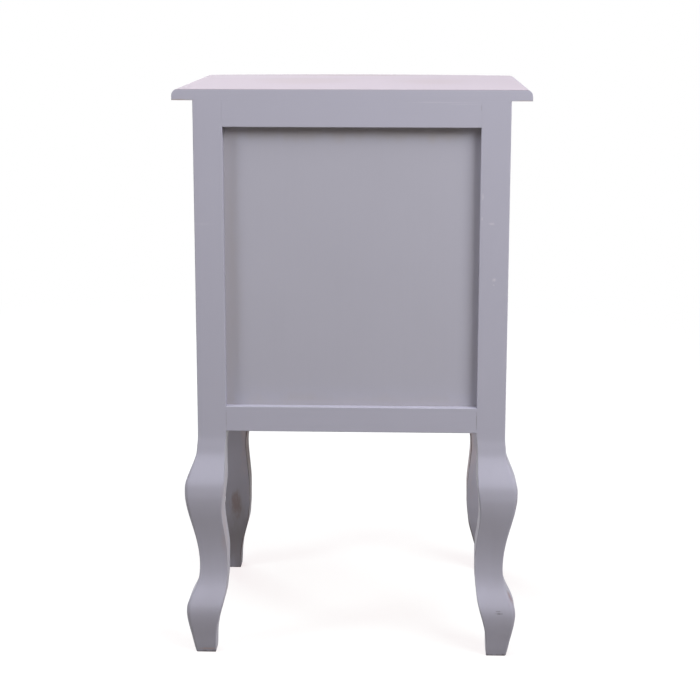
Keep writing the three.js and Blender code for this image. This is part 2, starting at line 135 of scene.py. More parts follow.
def effect(name, inputs, outputs):
    """A shading effect that materials share: its tree, what it is given and its last node."""
    tree = bpy.data.node_groups.new(name, "ShaderNodeTree")
    for label, kind in inputs.items():
        tree.interface.new_socket(name=label, in_out="INPUT", socket_type="NodeSocket" + kind)
    for label, kind in outputs.items():
        tree.interface.new_socket(name=label, in_out="OUTPUT", socket_type="NodeSocket" + kind)
    return tree, tree.nodes.new("NodeGroupInput").outputs, tree.nodes.new("NodeGroupOutput")


def using(tree, shared, **sockets):
    """Places a shared effect in a material and gives what it puts out."""
    return put(tree, "ShaderNodeGroup", sockets, node_tree=shared).outputs


def new_finish(name):
    """A material, its tree, its shader and the place on the piece that its patterns read."""
    material = bpy.data.materials.new(name)
    material.use_nodes = True
    tree = material.node_tree
    place = put(tree, "ShaderNodeTexCoord").outputs["Object"]
    return material, tree, tree.nodes["Principled BSDF"], place


# The paint film: soft clouds, streaks that follow the grain below, and a fine orange peel.
# Waves are counted in a metre here and below, and a share says how much a pattern counts.
streak_waves = 240
peel_waves = 900
cloud_waves = 9
streak_tone_share = 0.3
cloud_tone_share = 0.7
streak_height_share = 0.6
peel_height_share = 0.4
paint_film, given, result = effect(
    "paint film", {"Place": "Vector", "Grained": "Vector"}, {"Tone": "Float", "Height": "Float"})
streaks = cloud(paint_film, given["Grained"], streak_waves, detail=4, roughness=0.6)
peel = cloud(paint_film, given["Place"], peel_waves)
clouds = cloud(paint_film, given["Place"], cloud_waves, detail=3)
clouds = figure(paint_film, "MULTIPLY", clouds, cloud_tone_share)
peel = figure(paint_film, "MULTIPLY", peel, peel_height_share)
feed(paint_film, result, {
    "Tone": figure(paint_film, "MULTIPLY_ADD", streaks, streak_tone_share, clouds),
    "Height": figure(paint_film, "MULTIPLY_ADD", streaks, streak_height_share, peel),
})

# Worn edges: ragged patches where the paint is gone, wider where the edge sees more use.
# Paint goes where patches, flecks and nearness to the edge together pass a bar.
patch_waves = 24
fleck_waves = 380
patch_share = 1.5
fleck_share = 0.5
wear_bar = 2.32
wear_starts, wear_ends = -0.04, 0.24
edge_wear, given, result = effect(
    "edge wear", {"Place": "Vector", "Edge": "Float", "Amount": "Float"}, {"Mask": "Float"})
patches = cloud(edge_wear, given["Place"], patch_waves, detail=4, roughness=0.65)
flecks = cloud(edge_wear, given["Place"], fleck_waves, detail=3)
level = figure(edge_wear, "MULTIPLY_ADD", patches, patch_share, given["Edge"])
level = figure(edge_wear, "MULTIPLY_ADD", flecks, fleck_share, level)
bar = figure(edge_wear, "SUBTRACT", wear_bar, given["Amount"])
over = figure(edge_wear, "SUBTRACT", level, bar)
feed(edge_wear, result, {"Mask": spread(edge_wear, over, wear_starts, wear_ends)})

# A ragged spot of a given size round a given place, used for rubbed paint, chips, dark lines and painted
# shade alike
ragged_share = 1.4
spot_full, spot_gone = 0.2, 1.0
ragged_spot, given, result = effect(
    "ragged spot",
    {"Place": "Vector", "Grained": "Vector", "Centre": "Vector", "Size": "Vector", "Waves": "Float"},
    {"Mask": "Float"})
offset = vectors(ragged_spot, "SUBTRACT", given["Place"], given["Centre"])[0]
offset = vectors(ragged_spot, "DIVIDE", offset, given["Size"])[0]
reach = vectors(ragged_spot, "LENGTH", offset)["Value"]
ragged = cloud(ragged_spot, given["Grained"], given["Waves"], detail=4, roughness=0.6)
ragged = figure(ragged_spot, "SUBTRACT", ragged, 0.5)
reach = figure(ragged_spot, "MULTIPLY_ADD", ragged, ragged_share, reach)
feed(ragged_spot, result, {"Mask": spread(ragged_spot, reach, spot_full, spot_gone, 1.0, 0.0)})

paint_colour = (0.482, 0.480, 0.580, 1)
faded_colour = (0.455, 0.402, 0.468, 1)
undercoat_colour = (0.235, 0.150, 0.130, 1)
undercoat_share = 0.75
grain_stretch = 0.035
mark_stretch = 0.22
film_tone = 0.014
film_low, film_high = 0.25, 0.75
film_dullness = 0.16
paint_roughness = 0.50
bare_roughness = 0.72
paint_gloss = 0.35
film_depth = 0.00006
wear_depth = 0.0002


def painted(name, along, wear=0.1, colour=paint_colour, marks=(), faded=None):
    """Satin paint over timber whose grain runs along one axis, worn along its edges.

    A mark has a centre, a size, a share, a colour and its noise's waves.
    """
    material, tree, shader, place = new_finish(name)
    grained = drawn_out(tree, place, along, grain_stretch)
    mark_place = drawn_out(tree, place, along, mark_stretch)
    film = using(tree, paint_film, Place=place, Grained=grained)
    shade = colour[:3]
    if faded:
        rise = put(tree, "ShaderNodeSeparateXYZ", {0: place}).outputs["Z"]
        fade = spread(tree, rise, board_high.z - fade_depth, board_high.z)
        shade = blended(tree, fade, colour, faded)
    tone = spread(tree, film["Tone"], film_low, film_high, 1 - film_tone, 1 + film_tone)
    toned = {0: shade, "Scale": tone}
    shade = put(tree, "ShaderNodeVectorMath", toned, operation="SCALE").outputs[0]
    dulled = 0.0
    for centre, size, strength, mark_colour, waves in marks:
        spot = using(tree, ragged_spot, Place=place, Grained=mark_place, Centre=centre, Size=size, Waves=waves)
        share = figure(tree, "MULTIPLY", spot["Mask"], strength)
        shade = blended(tree, share, shade, mark_colour)
        dulled = figure(tree, "MAXIMUM", share, dulled)
    edge = put(tree, "ShaderNodeAttribute", attribute_name="edge").outputs["Fac"]
    bare = using(tree, edge_wear, Place=place, Edge=edge, Amount=wear)["Mask"]
    dulled = figure(tree, "MAXIMUM", bare, dulled)
    dull = figure(
        tree, "MULTIPLY_ADD", film["Height"], film_dullness, paint_roughness - film_dullness / 2)
    filmed = relief(tree, film["Height"], film_depth, strength=1.0)
    covered = figure(tree, "MULTIPLY", bare, undercoat_share)
    feed(tree, shader, {
        "Base Color": blended(tree, covered, shade, undercoat_colour),
        "Roughness": figure(tree, "MULTIPLY_ADD", dulled, bare_roughness - paint_roughness, dull),
        "Specular IOR Level": paint_gloss,
        "Normal": relief(tree, bare, wear_depth, strength=0.8, over=filmed, invert=True),
    })
    return material


sharp_angle = math.radians(40)
smooth_angle = math.radians(24)
flat_angle = math.radians(0.2)
wear_reach = 0.0025
room_share = 1.3


def bevelled(shape, edges, width, steps, clamp=True):
    """Rounds some edges and gives the faces that the rounding makes."""
    return bmesh.ops.bevel(
        shape, geom=edges, offset=width, offset_type="OFFSET", segments=steps,
        profile=0.5, affect="EDGES", clamp_overlap=clamp, material=-1)["faces"]


def smooth_regions(faces):
    """Sorts faces into regions that no sharp edge crosses."""
    left = list(faces)
    regions = []
    while left:
        region = [left.pop()]
        for face in region:
            for edge in face.edges:
                if len(edge.link_faces) == 2 and edge.calc_face_angle(0) < smooth_angle:
                    for other in edge.link_faces:
                        if other in left:
                            left.remove(other)
                            region.append(other)
        regions.append(region)
    return regions


def mark_edges(shape, rounded, reach, whole):
    """Writes how near each corner of a face is to a rounded edge, from 1 down to 0.

    A narrow ring of faces is cut along the rim of each region that has room for it, apart
    from those that are to stay whole.
    """
    layer = shape.loops.layers.float.new("edge")
    rounded = set(rounded)
    rings = []
    for region in smooth_regions(face for face in shape.faces if face not in rounded):
        if whole and whole(region[0]):
            continue
        inside = set(region)
        rim = [edge for face in region for edge in face.edges
               if any(other not in inside for other in edge.link_faces)]
        length = sum(edge.calc_length() for edge in rim)
        if sum(face.calc_area() for face in region) > room_share * reach * length:
            rings += bmesh.ops.inset_region(
                shape, faces=region, thickness=reach, use_boundary=True, use_even_offset=True)["faces"]
    for face in rounded:
        for loop in face.loops:
            loop[layer] = 1
    near = {vert for face in rounded for vert in face.verts}
    for face in rings:
        for loop in face.loops:
            loop[layer] = 1 if loop.vert in near else 0


def soften(shape, width, steps=2, reach=wear_reach, spare=None, whole=None):
    """Rounds each sharp outer edge but those to spare, and marks how far its wear reaches."""
    sharp = [edge for edge in shape.edges
             if len(edge.link_faces) == 2 and edge.is_convex
             and edge.calc_face_angle(0) > sharp_angle and not (spare and spare(edge))]
    rounded = bevelled(shape, sharp, width, steps)
    if reach:
        mark_edges(shape, rounded, reach, whole)


def finish_piece(shape, node, body, slot, *materials):
    """Makes a shape an object that stands for its node and moves with its body."""
    mesh = bpy.data.meshes.new("fine_" + node)
    shape.to_mesh(mesh)
    shape.free()
    for material in materials:
        mesh.materials.append(material)
    mesh.shade_smooth()
    mesh.set_sharp_from_angle(angle=sharp_angle)
    piece = bpy.data.objects.new("fine_" + node, mesh)
    bpy.context.scene.collection.objects.link(piece)
    piece.modifiers.new("flat faces stay flat", "WEIGHTED_NORMAL").keep_sharp = True
    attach(piece, body)
    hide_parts(node)


def line_to(shape, start, place):
    """Draws a straight edge from a vertex to a place."""
    end = bmesh.ops.extrude_vert_indiv(shape, verts=[start])["verts"][0]
    end.co = place
    return end


def arc_to(shape, start, centre, axis, angle, steps):
    """Draws an arc from a vertex round a centre."""
    made = bmesh.ops.spin(shape, geom=[start], cent=centre, axis=axis, angle=angle, steps=steps)
    return next(item for item in made["geom_last"] if isinstance(item, bmesh.types.BMVert))


board_low, board_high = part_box("top_board")
bow_radius = 0.780
board_corner = 0.016
board_round = 0.007
board_round_steps = 8
board_edge = 0.0005
board_reach = 0.004
fade_depth = 0.0012
bow_steps = 40
corner_steps = 10
up = Vector((0, 0, 1))

bow_centre = Vector((0, board_low.y + bow_radius, board_low.z))
corner_x = board_high.x - board_corner
corner_run = bow_radius - board_corner
corner_y = bow_centre.y - math.sqrt(corner_run ** 2 - corner_x ** 2)
half_bow = math.asin(corner_x / corner_run)
corner_turn = half_bow - math.pi / 2

board = bmesh.new()
first = board.verts.new((board_high.x, board_high.y, board_low.z))
last = line_to(board, first, (board_high.x, corner_y, board_low.z))
last = arc_to(board, last, (corner_x, corner_y, board_low.z), up, corner_turn, corner_steps)
last = arc_to(board, last, bow_centre, up, -2 * half_bow, bow_steps)
last = arc_to(board, last, (-corner_x, corner_y, board_low.z), up, corner_turn, corner_steps)
last = line_to(board, last, (-board_high.x, board_high.y, board_low.z))
board.edges.new((last, first))
outline = bmesh.ops.contextual_create(board, geom=list(board.edges))["faces"]
raised = bmesh.ops.extrude_face_region(board, geom=outline)["geom"]
raised = [item for item in raised if isinstance(item, bmesh.types.BMVert)]
bmesh.ops.translate(board, verts=raised, vec=(0, 0, board_high.z - board_low.z))
bmesh.ops.recalc_face_normals(board, faces=board.faces)
rim = [edge for edge in board.edges
       if all(vert.co.z > board_high.z - board_edge for vert in edge.verts)
       and any(vert.co.y < board_high.y - board_edge for vert in edge.verts)]
bevelled(board, rim, board_round, board_round_steps, clamp=False)


def meets_rail(edge):
    """Whether an edge lies at the back, where the board's face runs on into the rail's."""
    return all(vert.co.y > board_high.y - 0.1 * board_edge and vert.co.z < board_low.z + board_edge
               for vert in edge.verts)


# The rear edge keeps its paint, so its wear is taken off again
soften(board, board_edge, reach=board_reach, spare=meets_rail)
layer = board.loops.layers.float["edge"]
for face in board.faces:
    for loop in face.loops:
        if loop.vert.co.y > board_high.y - 1.1 * board_edge:
            loop[layer] = 0

rub_colour = (0.425, 0.365, 0.345, 1)
board_marks = (
    ((0.062, -0.006, board_high.z), (0.070, 0.110, 0.02), 0.20, rub_colour, 18),
    ((-0.088, 0.008, board_high.z), (0.060, 0.110, 0.02), 0.18, rub_colour, 18),
    ((0.010, -0.150, board_high.z), (0.110, 0.030, 0.02), 0.26, rub_colour, 30),
    ((0.183, board_high.y, board_low.z), (0.020, 0.012, 0.0020), 0.80, rub_colour, 160),
    ((-0.183, board_high.y, board_low.z), (0.020, 0.012, 0.0020), 0.80, rub_colour, 160),
)
board_paint = painted("top board paint", "X", 0.42, marks=board_marks, faded=faded_colour)
finish_piece(board, "top_board", "case", "painted_wood", board_paint)


# Legs: each is sawn and shaped from one square post. It swells out to a knee, draws in to
# an ankle and turns out again to a toe, the same from the back as from the side. The post
# above keeps its mortises and grooves, and hard use has taken the paint off some edges.
outer_round = 0.0012
outer_swell_round = 0.004
inner_round = 0.0004
inner_swell_round = 0.0016
full_swell = 0.0146
post_width = 0.0315
post_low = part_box("back_bottom_rail")[0].z
join_height = 0.0016
cut_height = 0.0006
round_steps = 6
ring_points = 4 * (round_steps + 1)
rings_between = 2
foot_edge = 0.0008
foot_steps = 2
joint_rise = 0.00018
touching = 0.00001
least_slant = 0.2


def copy_of(node):
    """A node's shape with its triangles joined into whole flat faces."""
    shape = bmesh.new()
    shape.from_mesh(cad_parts[node].data)
    bmesh.ops.remove_doubles(shape, verts=shape.verts, dist=touching)
    bmesh.ops.dissolve_limit(shape, angle_limit=flat_angle, verts=shape.verts, edges=shape.edges)
    return shape


def between(first, start, end, last, share):
    """A smooth curve's place between start and end, led by the places on either side."""
    return 0.5 * (
        2 * start + (end - first) * share
        + (2 * first - 5 * start + 4 * end - last) * share ** 2
        + (3 * start - first - 3 * end + last) * share ** 3
    )


def leg_profile(node, side_x, post_x):
    """Height, swell past the post and inner reach of each ring of a leg, from its solid."""
    rings = {}
    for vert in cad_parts[node].data.vertices:
        if vert.co.z < post_low + foot_edge:
            rings.setdefault(round(vert.co.z, 5), []).append(side_x * (vert.co.x - post_x))
    places = [Vector((height, max(reach), min(reach))) for height, reach in sorted(rings.items())
              if max(reach) > -foot_edge]
    ends = [places[0]] + places + [places[-1]]
    smooth = []
    for index in range(len(places) - 1):
        for step in range(rings_between):
            smooth.append(between(*ends[index:index + 4], step / rings_between))
    return [place for place in smooth if place.x < post_low - join_height] + [
        Vector((post_low - join_height, 0, -post_width))]


def leg_point(turn, place):
    """Where a point of a ring stands from the post's corner, as it would on the +X +Y leg."""
    height, swell, inner = place
    swell = min(max(swell, 0), full_swell)
    quarter, step = divmod(turn, round_steps + 1)
    if quarter == 0:
        curve = outer_round + outer_swell_round * swell / full_swell
    else:
        curve = inner_round + inner_swell_round * swell / full_swell
    high, low = swell - curve, inner + curve
    x = high if quarter in (0, 3) else low
    y = high if quarter in (0, 1) else low
    angle = math.pi / 2 * (quarter + step / round_steps)
    return Vector((x + curve * math.cos(angle), y + curve * math.sin(angle), height))


def slant(normal):
    """How far a normal points between the sides of the post, from 0 to 1 halfway."""
    across = math.hypot(normal.x, normal.y)
    return 2 * abs(normal.x * normal.y) / max(across, 0.001) ** 2


def shaped_leg(node):
    """A leg: the post from its solid, joined to a finely shaped lower part."""
    side = [-1 if "left" in node else 1, -1 if "front" in node else 1]
    low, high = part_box(node)
    corner = Vector((
        (high.x - full_swell) if side[0] > 0 else (low.x + full_swell),
        (high.y - full_swell) if side[1] > 0 else (low.y + full_swell), 0))
    profile = leg_profile(node, side[0], corner.x)
    shape = copy_of(node)
    post_top = [vert for vert in shape.verts if vert.co.z > high.z - joint_rise]
    bmesh.ops.translate(shape, verts=post_top, vec=(0, 0, joint_rise))
    bmesh.ops.bisect_plane(
        shape, geom=shape.verts[:] + shape.edges[:] + shape.faces[:],
        plane_co=(0, 0, post_low - cut_height), plane_no=up, clear_inner=True)

    # A tube with a radius and a height of 1 is cut into rings, and they take the profile
    made = bmesh.ops.create_cone(
        shape, cap_ends=True, segments=ring_points, radius1=1, radius2=1, depth=1)["verts"]
    lid = next(face for face in made[-1].link_faces if len(face.verts) == ring_points)
    upright = [edge for edge in shape.edges
               if abs(edge.verts[0].co.z - edge.verts[1].co.z) > 0.5]
    bmesh.ops.delete(shape, geom=[lid], context="FACES_ONLY")
    bmesh.ops.subdivide_edges(shape, edges=upright, cuts=len(profile) - 2)
    tube = [vert for vert in shape.verts if math.hypot(vert.co.x, vert.co.y) > 0.9]
    for vert in tube:
        turn = round(math.atan2(vert.co.y, vert.co.x) / math.tau * ring_points) % ring_points
        ring = round((vert.co.z + 0.5) * (len(profile) - 1))
        point = leg_point(turn, profile[ring])
        vert.co = corner + Vector((side[0] * point.x, side[1] * point.y, point.z))
    bmesh.ops.bridge_loops(shape, edges=[edge for edge in shape.edges if edge.is_boundary])
    bmesh.ops.recalc_face_normals(shape, faces=shape.faces)
    foot = [edge for edge in shape.edges
            if all(vert.co.z < touching for vert in edge.verts)
            and edge.calc_face_angle(0) > sharp_angle]
    bevelled(shape, foot, foot_edge, foot_steps)
    layer = shape.loops.layers.float.new("edge")
    for face in shape.faces:
        if slant(face.normal) > least_slant:
            for loop in face.loops:
                loop[layer] = slant(loop.vert.normal)
    return shape


brown_colour = (0.300, 0.205, 0.185, 1)
mauve_colour = (0.330, 0.215, 0.225, 1)
# A dark grey drawn in two thin lines across the crest of a rear leg's toe
dark_grey_colour = (0.16, 0.15, 0.17, 1)
chip_colour = (0.66, 0.64, 0.72, 1)
# A dark brown for the dark joint lines, the rims along the feet's bottom edges and the legs' darkening
# towards the floor
dark_brown_colour = (0.12, 0.09, 0.09, 1)
rubbed_colour = (0.56, 0.38, 0.35, 1)
ankle_colour = (0.20, 0.165, 0.14, 1)
# A pale pink on the front legs' inner faces: partly paint rubbed thin, partly painted light
thin_and_lit_colour = (0.66, 0.55, 0.575, 1)
rear_leg_wear = 0.22
front_leg_wear = 0.56
thin_and_lit_size = (0.014, 0.032, 0.140)
thin_and_lit_inset = 0.003
thin_and_lit_depth = 0.024
thin_and_lit_height = 0.185
leg_marks = {
    "rear_right_leg": (
        ((0.160, 0.1655, 0.4860), (0.014, 0.010, 0.0022), 0.14, chip_colour, 300),
        ((0.1400, 0.1600, 0.1650), (0.006, 0.030, 0.0700), 0.25, rubbed_colour, 90),
        ((0.1600, 0.1700, 0.0046), (0.016, 0.030, 0.0016), 0.45, rubbed_colour, 220),
        ((0.1440, 0.1700, 0.0060), (0.003, 0.030, 0.0070), 0.55, rubbed_colour, 160),
    ),
    "rear_left_leg": (
        ((-0.1790, 0.168, 0.079), (0.006, 0.014, 0.032), 0.68, mauve_colour, 120),
        ((-0.1655, 0.1795, 0.0532), (0.0056, 0.010, 0.0015), 0.6, dark_grey_colour, 500),
        ((-0.1645, 0.1795, 0.0558), (0.0042, 0.010, 0.0010), 0.5, dark_grey_colour, 700),
        ((-0.1500, 0.1655, 0.4880), (0.0050, 0.010, 0.0018), 0.55, chip_colour, 500),
        ((-0.1540, 0.1655, 0.4270), (0.0026, 0.010, 0.0030), 0.75, chip_colour, 600),
        ((-0.1535, 0.1655, 0.4215), (0.0014, 0.010, 0.0012), 0.65, chip_colour, 700),
        ((-0.1405, 0.1655, 0.5170), (0.0016, 0.010, 0.0050), 0.55, chip_colour, 600),
        ((-0.1400, 0.1655, 0.4930), (0.0012, 0.010, 0.0030), 0.50, chip_colour, 600),
    ),
    "front_left_leg": (
        ((-0.160, -0.108, 0.110), (0.008, 0.020, 0.030), 0.25, brown_colour, 90),
    ),
    "front_right_leg": (
        ((0.1560, -0.108, 0.090), (0.0090, 0.020, 0.024), 0.60, brown_colour, 420),
        ((0.1550, -0.112, 0.036), (0.0240, 0.030, 0.066), 0.42, ankle_colour, 60),
    ),
}
for name, marks in leg_marks.items():
    low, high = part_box(name)
    outer_x = high.x if "right" in name else low.x
    outer_y = low.y if "front" in name else high.y
    # Each leg is painted a little darker towards the floor, with a dark rim along its foot's bottom edge
    foot = ((0, outer_y, 0), (0.4, 0.06, 0.0034), 0.75, dark_brown_colour, 260)
    low_darkening = ((0, outer_y, 0), (0.4, 0.4, 0.24), 0.11, dark_brown_colour, 20)
    wear = rear_leg_wear
    if "front" in name:
        wear = front_leg_wear
        # Each front leg's inner face gets a pale pink band, partly paint rubbed thin and partly painted
        # light where that face is lit
        inner_x = outer_x - math.copysign(full_swell + post_width - thin_and_lit_inset, outer_x)
        thin_and_lit_place = (inner_x, outer_y + thin_and_lit_depth, thin_and_lit_height)
        marks += ((thin_and_lit_place, thin_and_lit_size, 0.75, thin_and_lit_colour, 120),)
    leg_paint = painted(name + " paint", "Z", wear, marks=marks + (low_darkening, foot))
    finish_piece(shaped_leg(name), name, "case", "painted_wood", leg_paint)


# Rails and panels: flat rails are tenoned into the posts, and thin panels float in grooves
# round the back and the sides. The paint covers what shows, and the wood inside is raw.
ring_spacing = 0.0042
ring_scale = math.tau / 20 / ring_spacing
ring_stretch = 0.15
ring_waver = 9.0
ring_waver_scale = 0.28
fibre_waves = 420
fibre_stretch = 0.03
broad_waves = fibre_waves / 6
mottle_waves = 16
ring_tone_share = 0.22
fibre_tone_share = 0.26
broad_tone_share = 0.30
mottle_tone_share = 0.20
ring_height_share = 0.08
timber_low, timber_high = 0.28, 0.78
timber_dullness = 0.2
raw_depth = 0.00025
raw_timber, given, result = effect(
    "raw timber",
    {"Place": "Vector", "Fibres": "Vector", "Rings": "Float"}, {"Tone": "Float", "Height": "Float"})
fibres = cloud(raw_timber, given["Fibres"], fibre_waves, detail=5, roughness=0.65)
broad = cloud(raw_timber, given["Fibres"], broad_waves, detail=3)
mottle = cloud(raw_timber, given["Place"], mottle_waves, detail=3)
tone = figure(raw_timber, "MULTIPLY", fibres, fibre_tone_share)
tone = figure(raw_timber, "MULTIPLY_ADD", given["Rings"], ring_tone_share, tone)
tone = figure(raw_timber, "MULTIPLY_ADD", broad, broad_tone_share, tone)
feed(raw_timber, result, {
    "Tone": figure(raw_timber, "MULTIPLY_ADD", mottle, mottle_tone_share, tone),
    "Height": figure(raw_timber, "MULTIPLY_ADD", given["Rings"], ring_height_share, fibres),
})


def raw_wood(name, along, pale, dark, heart, ring_share=1.0, dull=0.62):
    """Unpainted timber sawn from a log whose heart runs along one axis through a place."""
    material, tree, shader, place = new_finish(name)
    from_heart = moved(tree, place, heart)
    rings = put(tree, "ShaderNodeTexWave", {
        "Vector": drawn_out(tree, from_heart, along, ring_stretch), "Scale": ring_scale,
        "Distortion": ring_waver, "Detail": 2.0, "Detail Scale": ring_waver_scale, "Detail Roughness": 0.5,
    }, wave_type="RINGS", rings_direction=along, wave_profile="SAW").outputs["Fac"]
    rings = figure(tree, "MULTIPLY_ADD", rings, ring_share, 0.5 - ring_share / 2)
    fibres = drawn_out(tree, from_heart, along, fibre_stretch)
    timber = using(tree, raw_timber, Place=place, Fibres=fibres, Rings=rings)
    feed(tree, shader, {
        "Base Color": blended(tree, spread(tree, timber["Tone"], timber_low, timber_high), pale, dark),
        "Roughness": figure(tree, "MULTIPLY_ADD", timber["Tone"], timber_dullness, dull),
        "Normal": relief(tree, timber["Height"], raw_depth, strength=0.8),
    })
    return material


pine_pale = (0.66, 0.47, 0.27, 1)
pine_dark = (0.44, 0.26, 0.12, 1)
log_offset = 0.207
raw_along = {
    axis: raw_wood("raw pine along " + axis, axis, pine_pale, pine_dark,
                   [0 if other == axis else log_offset for other in "XYZ"])
    for axis in "XYZ"
}
panel_colour = (0.478, 0.476, 0.560, 1)
# A warm grey laid as painted shade round the edges of the back panel
recess_shade_colour = (0.46, 0.42, 0.40, 1)
frame_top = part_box("back_top_rail")[0].z
frame_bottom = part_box("back_bottom_rail")[1].z
frame_middle = (frame_top + frame_bottom) / 2
frame_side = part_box("rear_right_leg")[0].x
rail_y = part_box("back_bottom_rail")[1].y
panel_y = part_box("back_panel")[1].y
rail_marks = (
    ((-0.092, rail_y, 0.6166), (0.050, 0.010, 0.0010), 0.28, chip_colour, 240),
    ((-0.120, rail_y, 0.6146), (0.022, 0.010, 0.0008), 0.22, chip_colour, 300),
    ((-0.1374, rail_y, 0.6110), (0.0008, 0.010, 0.0060), 0.18, dark_brown_colour, 300),
    ((-0.1376, rail_y, 0.2700), (0.0008, 0.010, 0.0140), 0.35, dark_brown_colour, 300),
    ((0.1376, rail_y, 0.2700), (0.0007, 0.010, 0.0140), 0.25, dark_brown_colour, 300),
)
# Painted shade: the back panel is painted darker and warmer along its edges, in the recess beside the
# posts, under the top rail and over the bottom rail.
panel_shade_marks = (
    ((frame_side, panel_y, frame_middle), (0.024, 0.02, 0.40), 0.36, recess_shade_colour, 40),
    ((-frame_side, panel_y, frame_middle), (0.016, 0.02, 0.40), 0.10, recess_shade_colour, 40),
    ((0, panel_y, frame_top), (0.40, 0.02, 0.018), 0.42, recess_shade_colour, 40),
    ((0, panel_y, frame_bottom), (0.40, 0.02, 0.016), 0.26, recess_shade_colour, 40),
)
back_rail_paint = painted("rail paint across", "X", 0.10, marks=rail_marks)
side_rail_paint = painted("side rail paint", "Y", 0.16)
front_rail_paint = painted("front rail paint", "X", 0.48)
panel_paint_and_shade = painted("panel paint and painted shade", "Z", 0.0, panel_colour, panel_shade_marks)
rail_edge = 0.0006
joint_depth = 0.0004
joint_cover = 0.00039
panel_edge = 0.0003
roughly_facing = 0.7
squarely_facing = 0.9


def raw_inside(shape, inward):
    """Leaves the faces that look into the case unpainted."""
    for face in shape.faces:
        if face.normal.dot(inward) > roughly_facing:
            face.material_index = 1


def cover_joints(shape, axis, outward):
    """Lets the paint bridge the joints, over the posts' eased edges beside the rail's face."""
    along = "XYZ".index(axis)
    face = max(vert.co.dot(outward) for vert in shape.verts)
    bmesh.ops.bisect_plane(
        shape, geom=shape.verts[:] + shape.edges[:] + shape.faces[:],
        plane_co=outward * (face - joint_depth), plane_no=outward)
    seen = [vert for vert in shape.verts if vert.co.dot(outward) > face - 0.5 * joint_depth]
    reach = max(abs(vert.co[along]) for vert in seen)
    for vert in seen:
        if abs(vert.co[along]) > reach - joint_depth:
            vert.co[along] += math.copysign(joint_cover, vert.co[along])
        if vert.co.z > board_low.z - joint_depth:
            vert.co.z += joint_rise


def add_rail(node, axis, inward, paint):
    """A rail with its outer edges eased, but for those that butt against the posts and the top."""
    shape = copy_of(node)
    index = "XYZ".index(axis)
    low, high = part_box(node)
    end_zone = 0.1 * (high[index] - low[index])

    def at_joint(edge):
        under_top = all(vert.co.z > board_low.z - join_height for vert in edge.verts)
        at_end = all(
            min(vert.co[index] - low[index], high[index] - vert.co[index]) < end_zone
            for vert in edge.verts)
        run = abs(edge.verts[0].co[index] - edge.verts[1].co[index])
        return under_top or (at_end and run < 0.5 * edge.calc_length())

    soften(shape, rail_edge, spare=at_joint)
    raw_inside(shape, Vector(inward))
    if "side" in node or "back" in node:
        cover_joints(shape, axis, -Vector(inward))
    finish_piece(shape, node, "case", "painted_wood", paint, raw_along[axis])


for level in ("bottom", "top"):
    add_rail(f"back_{level}_rail", "X", (0, -1, 0), back_rail_paint)
    for side, inward in (("left", 1), ("right", -1)):
        add_rail(f"{side}_side_{level}_rail", "Y", (inward, 0, 0), side_rail_paint)
for name in ("lower_divider_rail", "upper_divider_rail", "front_top_rail", "front_apron"):
    add_rail(name, "X", (0, 1, 0), front_rail_paint)

panels = {"back_panel": (0, -1, 0), "left_side_panel": (1, 0, 0), "right_side_panel": (-1, 0, 0)}
for name, inward in panels.items():
    panel = copy_of(name)
    soften(panel, panel_edge)
    raw_inside(panel, Vector(inward))
    finish_piece(panel, name, "case", "painted_wood", panel_paint_and_shade, raw_along["Z"])


# Runners, kickers and stops: planed strips of pine inside the case. The drawers slide on
# the runners, the kickers hold them level when they are pulled out, and a small block
# behind each drawer front stops it in line with the rails.
strip_edge = 0.0007


def add_plain(node, body, edge, slot, material):
    """A piece whose solid has its shape already, so that only its edges are eased."""
    shape = copy_of(node)
    soften(shape, edge, reach=0)
    finish_piece(shape, node, body, slot, material)


levels = ("bottom", "middle", "top")
sides = ("left", "right")
strips = [f"{level}_{side}_runner" for level in levels for side in sides]
for name in strips + ["left_kicker", "right_kicker"]:
    add_plain(name, "case", strip_edge, "bare_wood", raw_along["Y"])
for level in levels:
    add_plain(f"{level}_drawer_stop", "case", strip_edge, "bare_wood", raw_along["X"])


# Top screws: four zinc-plated steel screws that come up through the kickers and hold the
# top board down. Their slotted heads sit in the kickers' counterbores.
zinc_dull = (0.42, 0.42, 0.41, 1)
zinc_bright = (0.62, 0.62, 0.60, 1)
zinc_smoothest, zinc_roughest = 0.28, 0.50
noise_low, noise_high = 0.3, 0.7
blotch_waves = 260
scratch_waves = 2600
scratch_depth = 0.00004
screw_edge = 0.0002


def plated(name):
    """Zinc-plated steel with fine turning marks and dull spots."""
    material, tree, shader, place = new_finish(name)
    blotches = cloud(tree, place, blotch_waves, detail=4)
    scratches = cloud(tree, place, scratch_waves, detail=3)
    feed(tree, shader, {
        "Base Color": blended(tree, blotches, zinc_dull, zinc_bright),
        "Metallic": 1,
        "Roughness": spread(tree, scratches, noise_low, noise_high, zinc_smoothest, zinc_roughest),
        "Normal": relief(tree, scratches, scratch_depth, strength=0.6),
    })
    return material


screw_steel = plated("zinc-plated steel")
for end in ("front", "rear"):
    for side in sides:
        add_plain(f"{end}_{side}_top_screw", "case", screw_edge, "steel", screw_steel)


